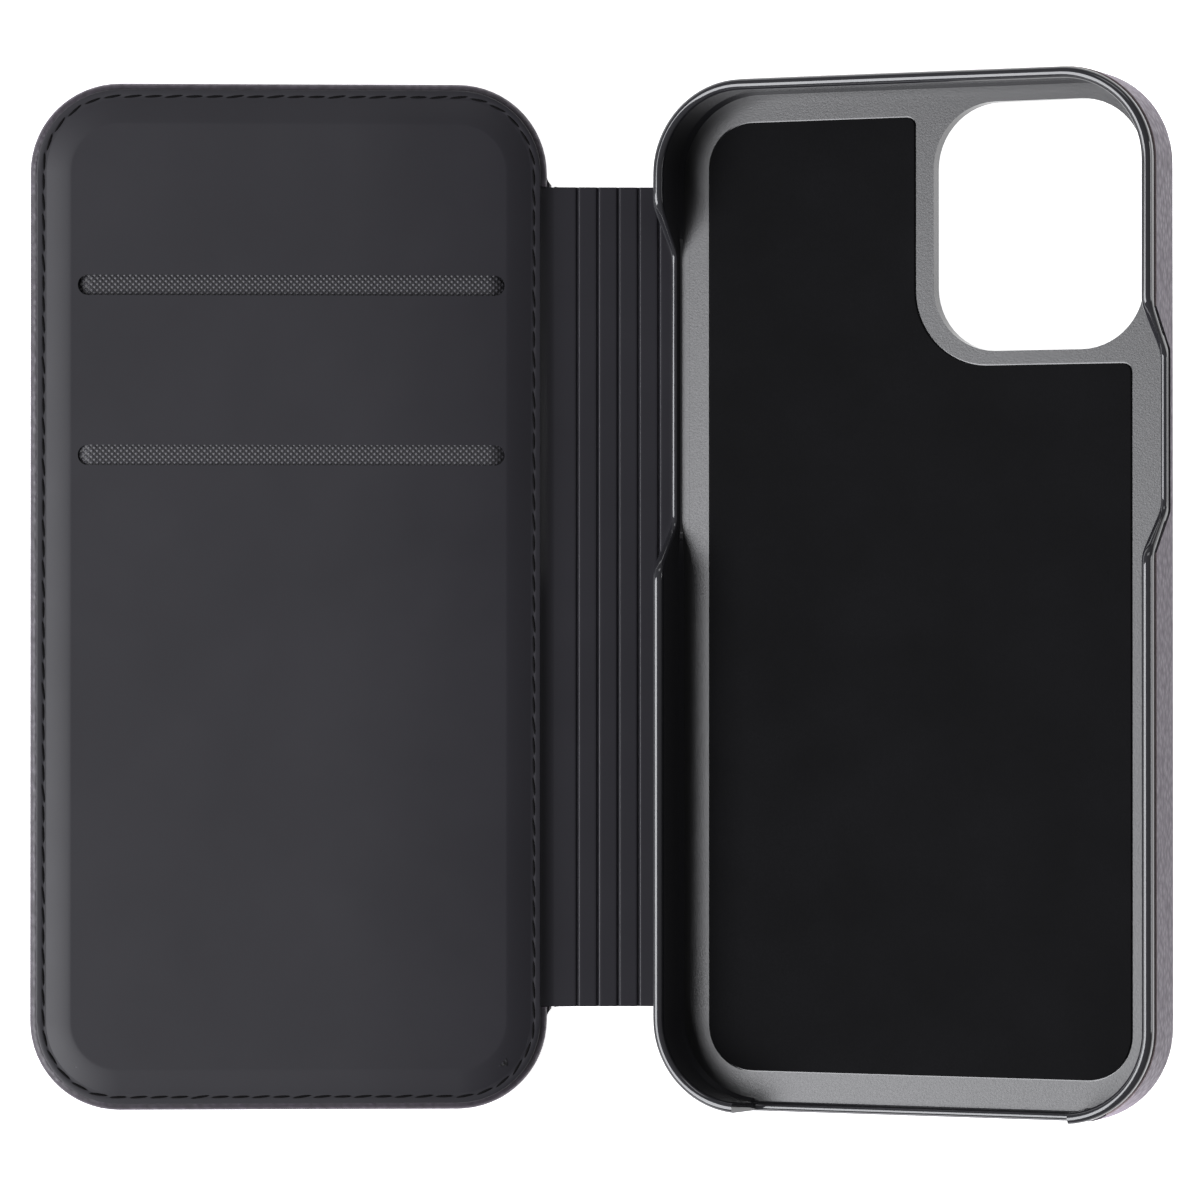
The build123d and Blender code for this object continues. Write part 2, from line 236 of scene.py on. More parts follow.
# %% Soft-touch lining
def soft_touch_lining():
    material, tree, shader, place = new_material("soft_touch_lining", "#1C1B20", 0.5)
    shader.inputs["Specular IOR Level"].default_value = 0.4
    cloud_size = 22 * MM
    clouds = noise(tree, place, cloud_size, 2.0)
    shade = ramp(tree, clouds, (0.3, "#18171C"), (0.7, "#1C1B20"))
    tree.links.new(shade, shader.inputs["Base Color"])
    along = add_node(tree, "SeparateXYZ", None, {"Vector": place}).outputs["X"]
    rubbed = {"Value": along, "From Min": 0.008, "From Max": 0.035, "To Min": 0.52, "To Max": 0.37}
    smoother = add_node(tree, "MapRange", None, rubbed).outputs["Result"]
    uneven = remap(tree, noise(tree, place, 6 * MM), 0.94, 1.06)
    worn = add_node(tree, "Math", {"operation": "MULTIPLY"}, {0: smoother, 1: uneven})
    tree.links.new(worn.outputs["Value"], shader.inputs["Roughness"])
    bump(tree, shader, noise(tree, place, 0.3 * MM, 4.0), 0.008 * MM, 0.5)
    return material


# %% [markdown]
# ## Woven pocket lining
# Behind each card slot shows a plain woven nylon, laid on the bias so that its threads cross at
# 45 degrees. Modelling each thread would take far too many faces for a strip that is 2.7 mm high.
# Two sets of waves, one along each diagonal and 0.56 mm apart, multiply into a lattice of small
# diamonds instead, light where a thread passes over and dark between: painted light on the
# threads' crowns and painted shade in the gaps between them.

# %% Bias-laid nylon weave
def nylon_weave():
    material, tree, shader, place = new_material("nylon_weave", "#2B2A2F", 0.5)
    shader.inputs["Sheen Weight"].default_value = 0.1
    turned = add_node(
        tree, "Mapping", None, {"Vector": place, "Rotation": (0, 0, radians(45))}
    ).outputs["Vector"]
    thread_spacing = 0.56 * MM
    bands_per_unit = pi / 10  # a Wave texture at scale 1 repeats every pi / 10 of its coordinate
    lattice = []
    for direction in ("X", "Y"):
        waves = add_node(
            tree,
            "TexWave",
            {"bands_direction": direction},
            {"Vector": turned, "Scale": bands_per_unit / thread_spacing, "Distortion": 0.0},
        )
        lattice.append(waves.outputs["Fac"])
    crossed = add_node(tree, "Math", {"operation": "MULTIPLY"}, {0: lattice[0], 1: lattice[1]})
    height = crossed.outputs["Value"]
    # Painted light and shade: crowns of the threads lighter, gaps between them darker
    shade = ramp(tree, height, (0.05, "#141317"), (0.5, "#2A292E"), (0.95, "#3C3B41"))
    tree.links.new(shade, shader.inputs["Base Color"])
    bump(tree, shader, height, 0.1 * MM)
    return material


# %% [markdown]
# ## Moulded plastic, gloss and spark-eroded
# The tray is one moulding in black ABS with polycarbonate, which has an IOR of 1.54. Its walls
# come from a polished mould, so they reflect like lacquer with only the faintest ripple. The
# floor's border comes from a spark-eroded face of the same mould, which leaves an even fine grain
# that spreads the light. So one plastic needs two finishes, which differ in their roughness and
# bump much more than in their colour. The walls' colour is painted lighter than the floor's, as
# painted reflection on the gloss walls.

# %% Gloss and satin ABS
def gloss_abs():
    # The walls' colour is painted lighter than the floor's, as painted reflection
    material, tree, shader, place = new_material("gloss_black_abs", "#222225", 0.07, IOR=1.54)
    smudge_size, ripple_size = 9 * MM, 3 * MM
    smudges = remap(tree, noise(tree, place, smudge_size), 0.05, 0.12)
    tree.links.new(smudges, shader.inputs["Roughness"])
    bump(tree, shader, noise(tree, place, ripple_size, 1.0), 0.01 * MM, 0.35)
    return material


def satin_abs():
    material, tree, shader, place = new_material("spark_eroded_abs", "#0C0C0E", 0.36, IOR=1.54)
    grain = noise(tree, place, 0.24 * MM, 2.0)
    tree.links.new(remap(tree, grain, 0.3, 0.44), shader.inputs["Roughness"])
    bump(tree, shader, grain, 0.02 * MM, 0.8)
    return material


# %% [markdown]
# ## Microfibre and thread
# The pad in the tray is a short-napped microfibre: nearly black, with a soft sheen where the nap
# catches the light. Hair strands could make the nap, but it is too short to be seen as hairs, so
# sheen and two sizes of noise do as well. The thread is a twisted polyester, whose turns are bands
# across each stitch. The thread is dark, and its colour is painted darker still, near black, as
# painted shade from the holes its stitches dive into; the dark between its turns is painted shade
# too.

# %% Microfibre and thread
def microfibre():
    material, tree, shader, place = new_material("napped_microfibre", "#0B0B0D", 0.95)
    shader.inputs["Sheen Weight"].default_value = 0.12
    shader.inputs["Sheen Roughness"].default_value = 0.35
    shader.inputs["Specular IOR Level"].default_value = 0.12
    nap = noise(tree, place, 0.25 * MM, 5.0)
    brushed = noise(tree, place, 12 * MM, 3.0)
    both = add_node(tree, "Math", {"operation": "MULTIPLY"}, {0: nap, 1: brushed})
    shade = ramp(tree, both.outputs["Value"], (0.1, "#050506"), (0.5, "#0B0B0D"))
    tree.links.new(shade, shader.inputs["Base Color"])
    bump(tree, shader, nap, 0.05 * MM, 0.8)
    return material


def twisted_polyester():
    # Near black: the dark thread, painted darker still as painted shade from the stitch holes
    material, tree, shader, place = new_material("twisted_polyester", "#0A090B", 0.85)
    shader.inputs["Specular IOR Level"].default_value = 0.1
    twist = 0.3 * MM  # gives one band to each turn, about 0.4 mm long
    turns = add_node(
        tree,
        "TexWave",
        {"bands_direction": "DIAGONAL"},
        {"Vector": place, "Scale": 0.5 / twist, "Distortion": 0.0},
    ).outputs["Fac"]
    # Painted shade between the turns
    shade = ramp(tree, turns, (0.2, "#040404"), (0.8, "#0D0C0E"))
    tree.links.new(shade, shader.inputs["Base Color"])
    bump(tree, shader, turns, 0.03 * MM, 0.7)
    return material


# %% [markdown]
# ## Finishes of the inner parts
# These show only when the case is taken apart, and each still gets its own finish. They are all
# two close colours mottled by one noise, with a bump from the same noise, so one function makes
# them. What tells them apart is the size of the grain, its depth and the gloss.

# %% Finishes of the inner parts
def grained(name, low_colour, high_colour, grain, depth, roughness, **surface):
    """A plain finish with two colours and a bump from one noise of that grain size."""
    material, tree, shader, place = new_material(name, low_colour, roughness, **surface)
    blotches = noise(tree, place, grain, 4.0)
    shade = ramp(tree, blotches, (0.3, low_colour), (0.7, high_colour))
    tree.links.new(shade, shader.inputs["Base Color"])
    bump(tree, shader, blotches, depth)
    return material


# Split hide, cut through: pale fibres with a warm cast
raw_leather_edge = grained("raw_leather_edge", "#8F8083", "#B3A3A4", 0.12 * MM, 0.03 * MM, 0.8)
# Polyurethane foam: open cells about half a millimetre across
polyurethane_foam = grained("polyurethane_foam", "#4A4A4C", "#626265", 0.5 * MM, 0.15 * MM, 0.9)
# Grey board: pressed paper fibre
grey_board = grained("grey_board", "#6E665C", "#8A8175", 0.6 * MM, 0.04 * MM, 0.85)
# Polypropylene strip: extruded, slightly cloudy
polypropylene = grained("extruded_polypropylene", "#1B1B1D", "#242427", 2 * MM, 0.01 * MM, 0.4)
# Neodymium with nickel plating
nickel_plating = grained(
    "nickel_plating", "#B9B6AE", "#C9C6BE", 4 * MM, 0.004 * MM, 0.22, Metallic=1.0
)
# Rolled steel with zinc plating
zinc_plated_steel = grained(
    "zinc_plated_steel", "#A5A7AB", "#B9BBBF", 1.5 * MM, 0.006 * MM, 0.35, Metallic=1.0
)
leather = pebbled_leather()
lining = soft_touch_lining()
weave = nylon_weave()
gloss_plastic = gloss_abs()
satin_plastic = satin_abs()
nap = microfibre()
thread = twisted_polyester()
print("materials:", len(bpy.data.materials))

# %% [markdown]
# ## Making a piece from a bmesh
# Every piece needs the same last steps, so one function takes them. The piece becomes an object
# at the origin with its place in its mesh, smooth shaded, riding on its CAD body. Smooth shading
# alone would bend the light on large flat faces beside small rounded ones, so a Weighted Normal
# modifier lets the large faces keep their own normals. Edges sharper than a crease angle stay
# sharp. A CAD mesh is loose triangles, so a copy of it is merged before it is used.

# %% Piece helpers
CREASE = radians(38)
FLAT = radians(0.4)
MERGE_DISTANCE = 0.002 * MM


def make_piece(name, bm, materials, body, replaced=(), crease=CREASE):
    """Turns a bmesh into a named piece that stands for CAD nodes and rides on a body."""
    mesh = bpy.data.meshes.new(name)
    for face in bm.faces:
        face.smooth = True
    for edge in bm.edges:
        edge.smooth = len(edge.link_faces) != 2 or edge.calc_face_angle() < crease
    bm.to_mesh(mesh)
    bm.free()
    piece = bpy.data.objects.new(name, mesh)
    bpy.context.scene.collection.objects.link(piece)
    for material in materials:
        mesh.materials.append(material)
    normals = piece.modifiers.new("even_normals", "WEIGHTED_NORMAL")
    normals.keep_sharp = True
    normals.weight = 60
    if body:
        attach(piece, body)
    if replaced:
        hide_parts(*replaced)
    print(name, "faces:", len(mesh.polygons))
    return piece


def copy_of(node):
    """A merged copy of a CAD node's mesh, with its flat faces whole again."""
    bm = bmesh.new()
    bm.from_mesh(frame["nodes"][node].data)
    bmesh.ops.remove_doubles(bm, verts=bm.verts, dist=MERGE_DISTANCE)
    bmesh.ops.dissolve_limit(
        bm, angle_limit=FLAT, verts=bm.verts, edges=bm.edges, use_dissolve_boundaries=False
    )
    return bm


# %% [markdown]
# ## A rounded plate, and steps inwards from its edge
# The tray's walls, the cover's foam and its lining all start from one kind of outline. It could be
# a list of points, but a single face with a vertex bevel rounds its own corners, and bisecting
# its straight sides divides them without cutting the face. Then each inset takes a step inwards
# and a move takes it up or down, so that a list of steps draws the section from the edge to the
# middle.

# %% Rounded plate and its section
CORNER_SEGMENTS = 20
LENGTH_TOLERANCE = 0.01 * MM


def rounded_face(half_width, half_length, corner, height, spacing=None):
    """A bmesh with one flat face whose corners are rounded and whose sides may be divided."""
    bm = bmesh.new()
    size = Matrix.Diagonal((half_width, half_length, 1, 1))
    bmesh.ops.create_grid(bm, x_segments=1, y_segments=1, size=1, matrix=size)
    bmesh.ops.bevel(
        bm,
        geom=bm.verts[:],
        offset=corner,
        offset_type="OFFSET",
        affect="VERTICES",
        segments=CORNER_SEGMENTS,
        profile=0.5,
        material=-1,
    )
    if spacing:
        for half in (half_width, half_length):
            straight = 2 * (half - corner)
            sides = [
                edge for edge in bm.edges if abs(edge.calc_length() - straight) < LENGTH_TOLERANCE
            ]
            bmesh.ops.bisect_edges(bm, edges=sides, cuts=round(straight / spacing) - 1)
    bmesh.ops.translate(bm, verts=bm.verts, vec=(0, 0, height))
    return bm


def step_inwards(bm, steps):
    """Insets the last face by (inwards, up) steps and returns it."""
    bm.faces.ensure_lookup_table()
    middle = bm.faces[-1]
    for inwards, up in steps:
        bmesh.ops.inset_region(
            bm, faces=[middle], thickness=inwards, use_even_offset=True, use_boundary=True
        )
        bmesh.ops.translate(bm, verts=middle.verts, vec=(0, 0, up))
    return middle


# %% [markdown]
# ## The tray's walls
# The walls are one closed band round the tray. Their section runs up the outside, over a round
# rim, past a small lip that snaps over the phone, and down to a rounded foot. Where fingers and
# the plug have to reach the phone the rim dips, with a ramp at each end. Cutting the dips with a
# boolean would leave long thin triangles, and gloss shows every one of them. So there are two
# sections with as many points each, one at full height and one in a dip. Insets make the rings,
# and each ring's vertices are then placed between the two sections by how deep the dip is there.
# The rim stays round all along, in even quads. The walls are drawn thinner than the frame's, so
# that the rim is the slim bead that the eye sees on the real tray.

# %% Sizes of the walls
def level_on_tray(point):
    """How far a point stands out of the tray's back."""
    return (point - tray_hinge).dot(outward)


tray_points = [vert.co for vert in frame["nodes"]["phone_tray"].data.vertices]
tray_half_width = max((point - tray_hinge).dot(across) for point in tray_points) / 2
tray_half_length = tray_high.y
rim_level = max(level_on_tray(point) for point in tray_points)
wrap_top = max(level_on_tray(v.co) for v in frame["nodes"]["tray_leather"].data.vertices)
pad_level = max(level_on_tray(v.co) for v in frame["nodes"]["tray_pad"].data.vertices)
PAD_ABOVE_FLOOR = 0.15 * MM
floor_level = pad_level - PAD_ABOVE_FLOOR
TRAY_CORNER = 12.4 * MM
FULL_WALL = 1.3 * MM
DIP_WALL = 1.05 * MM
# The leather stands this far outside the wall above it
LEATHER_PROUD = 0.15 * MM
# The outside of the wall goes this far down behind the leather's edge. Any deeper, it would meet
# the spine's lining when the tray folds over
BAND_INTO_LEATHER = 0.4 * MM
FOOT_ROUND = 0.35 * MM
DIP_LEVEL = floor_level + 1.25 * MM
DIP_BAND = 1.1 * MM
RAMP_RUN = 6.0 * MM
RAMP_SOFTNESS = 0.7 * MM
print(f"tray rim {rim_level / MM:.2f} mm, floor {floor_level / MM:.2f} mm above its back")

# %% The two sections and the dips
ARC_STEPS = 6


def arc(centre, radius, start):
    """Points of a quarter circle that starts at an angle in degrees and turns clockwise."""
    turned = [radians(start - 90 * step / ARC_STEPS) for step in range(ARC_STEPS + 1)]
    return [(centre[0] + radius * cos(a), centre[1] + radius * sin(a)) for a in turned]


def wall_section(wall, top, band, rim_round, inner_round, lip, lip_height):
    """Points (distance from the outline, level) from the band's lower edge to the foot."""
    inner = wall + lip
    points = [(LEATHER_PROUD, band - BAND_INTO_LEATHER)]
    points += arc((LEATHER_PROUD + rim_round, top - rim_round), rim_round, 180)
    points += arc((inner - inner_round, top - inner_round), inner_round, 90)
    points += [(inner, top - lip_height), (wall, top - lip_height - lip)]
    foot = arc((wall + FOOT_ROUND, floor_level + FOOT_ROUND), FOOT_ROUND, 270)
    return points + foot[::-1]


full_section = wall_section(
    wall=FULL_WALL,
    top=rim_level,
    band=wrap_top,
    rim_round=0.72 * MM,
    inner_round=0.7 * MM,
    lip=0.3 * MM,
    lip_height=1.0 * MM,
)
dip_section = wall_section(
    wall=DIP_WALL,
    top=DIP_LEVEL,
    band=DIP_LEVEL - DIP_BAND,
    rim_round=0.44 * MM,
    inner_round=0.42 * MM,
    lip=0.0,
    lip_height=0.45 * MM,
)
dips = {
    "volume_buttons": {"facing": (-1, 0), "middle": 27.6 * MM, "half_low": 18.1 * MM},
    "power_button": {"facing": (1, 0), "middle": 21.2 * MM, "half_low": 10.0 * MM},
    "plug": {"facing": (0, -1), "middle": 0.0, "half_low": 22.0 * MM},
}
SAME_WAY = 0.999
print("points in each section:", len(full_section), "dips:", sorted(dips))


def dip_amount(place, facing):
    """0 at full height and 1 in a dip, for a place on the outline and the way it faces."""
    deepest = 0.0
    for dip in dips.values():
        if facing.dot(Vector(dip["facing"])) < SAME_WAY:
            continue
        along = place.y if dip["facing"][1] == 0 else place.x
        away = abs(along - dip["middle"]) - dip["half_low"]
        soft = [away - RAMP_SOFTNESS, away, away + RAMP_SOFTNESS]
        ramps = [min(max(1 - distance / RAMP_RUN, 0), 1) for distance in soft]
        deepest = max(deepest, sum(ramps) / len(ramps))
    return deepest


# %% [markdown]
# ## Placing the rings of the walls
# A vertex's ring is found from how far it is from the outline, as the insets spaced the rings
# evenly. Each vertex then keeps the way it faces, and only its distance and its level change. The
# two open edges, the outermost ring and the innermost, are bridged underneath, and last the band
# is turned to the tray's lean.

# %% Walls of the tray
RING_SPACING = 0.1 * MM
WALL_SPACING = 0.6 * MM
walls = rounded_face(tray_half_width, tray_half_length, TRAY_CORNER, 0, WALL_SPACING)
middle = step_inwards(walls, [(RING_SPACING, 0)] * (len(full_section) - 1))
bmesh.ops.delete(walls, geom=[middle], context="FACES")
core_x = tray_half_width - TRAY_CORNER
core_y = tray_half_length - TRAY_CORNER
for vert in walls.verts:
    nearest = Vector((min(max(vert.co.x, -core_x), core_x), min(max(vert.co.y, -core_y), core_y)))
    facing = vert.co.xy - nearest
    ring = round((TRAY_CORNER - facing.length) / RING_SPACING)
    facing.normalize()
    amount = dip_amount(vert.co, facing)
    full, dip = Vector(full_section[ring]), Vector(dip_section[ring])
    distance, level = full.lerp(dip, amount)
    vert.co.xy = nearest + facing * (TRAY_CORNER - distance)
    vert.co.z = level
open_edges = [edge for edge in walls.edges if edge.is_boundary]
bmesh.ops.bridge_loops(walls, edges=open_edges)
tray_place = Matrix((across, (0, 1, 0), outward)).transposed().to_4x4()
tray_place.translation = tray_hinge + across * tray_half_width
bmesh.ops.transform(walls, verts=walls.verts, matrix=tray_place)
bmesh.ops.recalc_face_normals(walls, faces=walls.faces)
print("tray walls, faces:", len(walls.faces))

# %% [markdown]
# ## The tray's floor
# The floor is flat, with a camera window and a shallow recess for the pad, and its CAD mesh has
# both, so drawing it again would gain nothing. The lowest slice of that mesh is copied, cut off
# just above the floor, and closed where the walls stand on it. Its upper faces are spark-eroded
# and the rest is gloss. Walls and floor are one moulding, so they make one piece.

# %% Floor and walls as one shell
SLICE_ABOVE_FLOOR = 0.02 * MM
shell = copy_of("phone_tray")
cut = bmesh.ops.bisect_plane(
    shell,
    geom=shell.verts[:] + shell.edges[:] + shell.faces[:],
    plane_co=on_tray(0, 0, floor_level + SLICE_ABOVE_FLOOR),
    plane_no=outward,
    clear_outer=True,
)
cut_edges = [item for item in cut["geom_cut"] if isinstance(item, bmesh.types.BMEdge)]
bmesh.ops.triangle_fill(shell, use_beauty=True, use_dissolve=False, edges=cut_edges)
for face in shell.faces:
    looks_out = abs(face.normal.dot(outward)) > SAME_WAY
    above_floor = level_on_tray(face.calc_center_median()) - floor_level
    on_floor = abs(above_floor) < 1.5 * SLICE_ABOVE_FLOOR
    face.material_index = 1 if looks_out and on_floor else 0
wall_mesh = bpy.data.meshes.new("walls")
walls.to_mesh(wall_mesh)
walls.free()
shell.from_mesh(wall_mesh)
bpy.data.meshes.remove(wall_mesh)
make_piece(
    "tray_shell",
    shell,
    [gloss_plastic, satin_plastic],
    "tray",
    ["phone_tray"],
)

# %% [markdown]
# ## The leather round the tray
# The same leather covers the tray's back and turns up its sides, where it is cut and glued. Its
# CAD mesh has the right shape and only needs a finish. The cut shows as a thin pale line, because
# only the film is black and the hide under it is raw, so the faces at the top that look straight
# up get a second material.

# %% Tray leather
LEVEL_TOLERANCE = 0.05 * MM
wrap = copy_of("tray_leather")
for face in wrap.faces:
    looks_out = face.normal.dot(outward) > SAME_WAY
    at_top = level_on_tray(face.calc_center_median()) > wrap_top - LEVEL_TOLERANCE
    face.material_index = 1 if looks_out and at_top else 0
make_piece(
    "tray_leather_wrap",
    wrap,
    [leather, raw_leather_edge],
    "tray",
    ["tray_leather"],
)

# %% [markdown]
# ## The pad in the tray
# The pad is die-cut, with its edge pressed down by the cutter. A Bevel modifier rounds the edge of
# a copy of its CAD mesh, which is simpler than bevelling the mesh and can still be adjusted. It is
# moved before the Weighted Normal modifier, which has to see the faces that the bevel makes.

# %% Microfibre pad
pad = make_piece("microfibre_pad", copy_of("tray_pad"), [nap], "tray", ["tray_pad"])
pressed = pad.modifiers.new("pressed_edge", "BEVEL")
pressed.width = 0.14 * MM
pressed.segments = 3
pressed.limit_method = "ANGLE"
pressed.angle_limit = CREASE
pad.modifiers.move(1, 0)

# %% [markdown]
# ## The cover's leather
# The leather is turned in over the board all round but at the spine, where it runs on flat. Its
# CAD mesh has the right folds, so it is copied and smoothed as the tray's is. Cloth simulation
# would add nothing, because glue holds the leather flat on a stiff board.

# %% Cover leather
make_piece(
    "cover_outer_leather",
    copy_of("cover_leather"),
    [leather],
    "cover",
    ["cover_leather"],
)

# %% [markdown]
# ## Soft slopes
# Foam lifts a sheet in a soft slope. One kind starts and ends level, as at the foam's own edge.
# The other starts steep at the stitches, which hold the sheet down, and fades out like a pillow's.
# Both are even steps inwards, each with its share of the rise, so `step_inwards` can draw them.

# %% Soft slopes
PILLOW_FULLNESS = 1.35


def soft_step(width, rise, count):
    """Steps of a slope that starts and ends level, as padding makes under a lining."""
    heights = [rise * t * t * (3 - 2 * t) for t in (index / count for index in range(count + 1))]
    return [(width / count, high - low) for low, high in zip(heights, heights[1:])]


def pillow_step(width, rise, count):
    """Steps of a slope that starts steep at a seam and fades out, as a pillow does."""
    heights = [rise * (1 - (1 - index / count) ** PILLOW_FULLNESS) for index in range(count + 1)]
    return [(width / count, high - low) for low, high in zip(heights, heights[1:])]


# %% [markdown]
# ## Foam under the lining
# The cover feels soft because of a thin foam sheet on the board. It is a crowned form, thinner
# towards its edge where the lining pulls it down. It starts as a rounded face, which is extruded
# to the height of its edge and then stepped inwards up to the crown.

# %% Foam padding
foam_low, foam_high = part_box("cover_padding")
lining_low, lining_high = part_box("cover_lining")
LINING_CORNER = 11.0 * MM
foam_corner = LINING_CORNER - (foam_low.x - lining_low.x)
foam = rounded_face(foam_high.x, foam_high.y, foam_corner, foam_low.z)
foam_sheet = bmesh.ops.extrude_face_region(foam, geom=foam.faces[:])
top_verts = [item for item in foam_sheet["geom"] if isinstance(item, bmesh.types.BMVert)]
foam_edge_height = 0.5 * MM
foam_slope_width = 1.6 * MM
bmesh.ops.translate(foam, verts=top_verts, vec=(0, 0, foam_edge_height))
crown = foam_high.z - foam_low.z - foam_edge_height
step_inwards(foam, soft_step(foam_slope_width, crown, 6))
bmesh.ops.recalc_face_normals(foam, faces=foam.faces)
foam_padding = make_piece(
    "foam_sheet", foam, [polyurethane_foam], "cover", ["cover_padding"]
)

# %% [markdown]
# ## The cover's lining
# The lining is one thin sheet, glued down round the edge where it is stitched, and lifted in the
# middle by the foam. Its section, from the edge inwards, is a rounded cut edge, a flat margin, a
# faint trough where the stitches pull it down, and a pillow slope up to the flat middle. The two
# card slots could be cut with a boolean, but a flat face needs only loops: each slot is a
# slot-shaped loop, and a fill between the loops leaves them open. The sheet then gets its
# thickness, downwards, and the edges of the slots are rolled over with a bevel. The middle is as
# low as the lower pocket's cloth allows, because only a slight swell shows on the real cover.

# %% Lining of the cover
SLOT_HEIGHT = 2.7 * MM
SLOT_SIDE_MARGIN = 0.3 * MM
SLOT_TOP_MARGIN = 3.0 * MM
STITCH_FROM_LINING_EDGE = 0.95 * MM
TROUGH_DEPTH = 0.04 * MM
SWELL_START = 1.3 * MM
SWELL_WIDTH = 3.4 * MM
ABOVE_CLOTH = 0.2 * MM
lining_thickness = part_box("spine_lining_2")[1].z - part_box("spine_lining_2")[0].z
margin_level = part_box("cover_stitching")[0].z
lower_cloth_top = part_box("lower_pocket_fabric")[1].z
swell_rise = lower_cloth_top + ABOVE_CLOTH - margin_level
print(f"the lining swells by {swell_rise / MM:.2f} mm")
slot_centres = []
for fabric in ("upper_pocket_fabric", "lower_pocket_fabric"):
    low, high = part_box(fabric)
    slot_half_width = (high.x - low.x) / 2 - SLOT_SIDE_MARGIN
    slot_y = high.y - SLOT_TOP_MARGIN - SLOT_HEIGHT / 2
    slot_centres.append(Vector(((low.x + high.x) / 2, slot_y, 0)))


# Just under half the height, so that the two bevels of an end leave a short edge between them
SLOT_END_ROUND = SLOT_HEIGHT / 2 * 0.98


def slot_ring(bm, centre, height):
    """A loop of edges in the shape of a card slot."""
    before = set(bm.verts)
    size = Matrix.Diagonal((slot_half_width, SLOT_HEIGHT / 2, 1, 1))
    grid = bmesh.ops.create_grid(bm, x_segments=1, y_segments=1, size=1, matrix=size)
    bmesh.ops.bevel(
        bm,
        geom=grid["verts"],
        offset=SLOT_END_ROUND,
        offset_type="OFFSET",
        affect="VERTICES",
        segments=8,
        profile=0.5,
        material=-1,
    )
    ring = [v for v in bm.verts if v not in before]
    bmesh.ops.translate(bm, verts=ring, vec=(centre.x, centre.y, height))
    face = ring[0].link_faces[0]
    bmesh.ops.delete(bm, geom=[face], context="FACES_ONLY")
    return [edge for edge in bm.edges if edge.verts[0] in ring and edge.verts[1] in ring]


# %% The sheet with its slots
EDGE_DROP = 0.1 * MM
EDGE_ROUND = 0.15 * MM
TROUGH_HALF = 0.35 * MM
edge_level = margin_level - EDGE_DROP
sheet = rounded_face(-lining_low.x, lining_high.y, LINING_CORNER, edge_level)
profile = [(EDGE_ROUND / 3, 0.6 * EDGE_DROP), (EDGE_ROUND * 2 / 3, 0.4 * EDGE_DROP)]
profile += [(STITCH_FROM_LINING_EDGE - TROUGH_HALF - EDGE_ROUND, 0)]
profile += soft_step(TROUGH_HALF, -TROUGH_DEPTH, 3) + soft_step(TROUGH_HALF, TROUGH_DEPTH, 3)
profile += [(SWELL_START - STITCH_FROM_LINING_EDGE - TROUGH_HALF, 0)]
profile += pillow_step(SWELL_WIDTH, swell_rise, 12)
middle = step_inwards(sheet, profile)
outer_loop = list(middle.edges)
bmesh.ops.delete(sheet, geom=[middle], context="FACES_ONLY")
slot_edges = []
for centre in slot_centres:
    slot_edges += slot_ring(sheet, centre, margin_level + swell_rise)
bmesh.ops.triangle_fill(sheet, use_beauty=True, use_dissolve=True, edges=outer_loop + slot_edges)
for face in sheet.faces:
    if face.normal.z < 0:
        face.normal_flip()
CUT_EDGE = radians(60)
cover_lining = make_piece(
    "cover_lining_sheet", sheet, [lining], "cover", ["cover_lining"], CUT_EDGE
)
thickness = cover_lining.modifiers.new("sheet_thickness", "SOLIDIFY")
thickness.thickness = 0.75 * lining_thickness
thickness.offset = -1
rolled = cover_lining.modifiers.new("rolled_slot_edges", "BEVEL")
rolled.width = 0.12 * MM
rolled.segments = 3
rolled.limit_method = "ANGLE"
rolled.angle_limit = CUT_EDGE
cover_lining.modifiers.move(0, 2)

# %% [markdown]
# ## Card pockets
# Each slot opens into a pocket of thin woven nylon, which hangs from above the slot down to the
# pocket's floor. Pressed between board and lining it has no room to drape, so a cloth simulation
# would only give a flat sheet back. A divided grid with a faint ripple is enough.

# %% Pocket fabrics
CLOTH = 0.12 * MM
RIPPLE = 0.02 * MM
RIPPLE_ACROSS = 5.2 * MM
RIPPLE_ALONG = 7.1 * MM


def pocket_sheet(node, name):
    """A flat cloth where that CAD pocket is, drawn a little above the pocket's lowest level."""
    low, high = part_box(node)
    bm = bmesh.new()
    middle = Vector(((low.x + high.x) / 2, (low.y + high.y) / 2, low.z + 0.6 * CLOTH))
    place = Matrix.Translation(middle) @ Matrix.Diagonal(
        ((high.x - low.x) / 2, (high.y - low.y) / 2, 1, 1)
    )
    bmesh.ops.create_grid(bm, x_segments=24, y_segments=36, size=1, matrix=place)
    for vert in bm.verts:
        ripple = sin(vert.co.x / RIPPLE_ACROSS) * cos(vert.co.y / RIPPLE_ALONG)
        vert.co.z += RIPPLE * ripple
    piece = make_piece(name, bm, [weave], "cover", [node])
    cloth = piece.modifiers.new("cloth_thickness", "SOLIDIFY")
    cloth.thickness = CLOTH
    cloth.offset = 0
    return piece


pocket_sheet("upper_pocket_fabric", "upper_pocket_cloth")
pocket_sheet("lower_pocket_fabric", "lower_pocket_cloth")

# %% [markdown]
# ## Stitching round the cover
# One run of lock stitch holds the lining and the turned edge together. Each stitch is a short
# bulge of thread that dives into the lining at both ends. A curve with a round bevel could follow
# the whole thread, but a stretched ball half sunk in the surface is all of it that shows, and has
# only a few dozen faces. The run follows a rounded rectangle. A hand never feeds the work evenly,
# so a stitch leans and lengthens a little from the one before, by a fixed wave that is the same
# each time the script runs.

# %% Stitches
STITCH_CORNER = 10.05 * MM
stitch_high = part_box("cover_stitching")[1]
STITCH_COUNT = 140
STITCH_HALF = Vector((1.28, 0.17, 0.15)) * MM
LENGTH_UNEVENNESS = 0.05 * MM
STITCH_LEAN = 5
LEAN_UNEVENNESS = 2.5
thread_half = 0.2 * MM
run_x = stitch_high.x - thread_half
run_y = stitch_high.y - thread_half


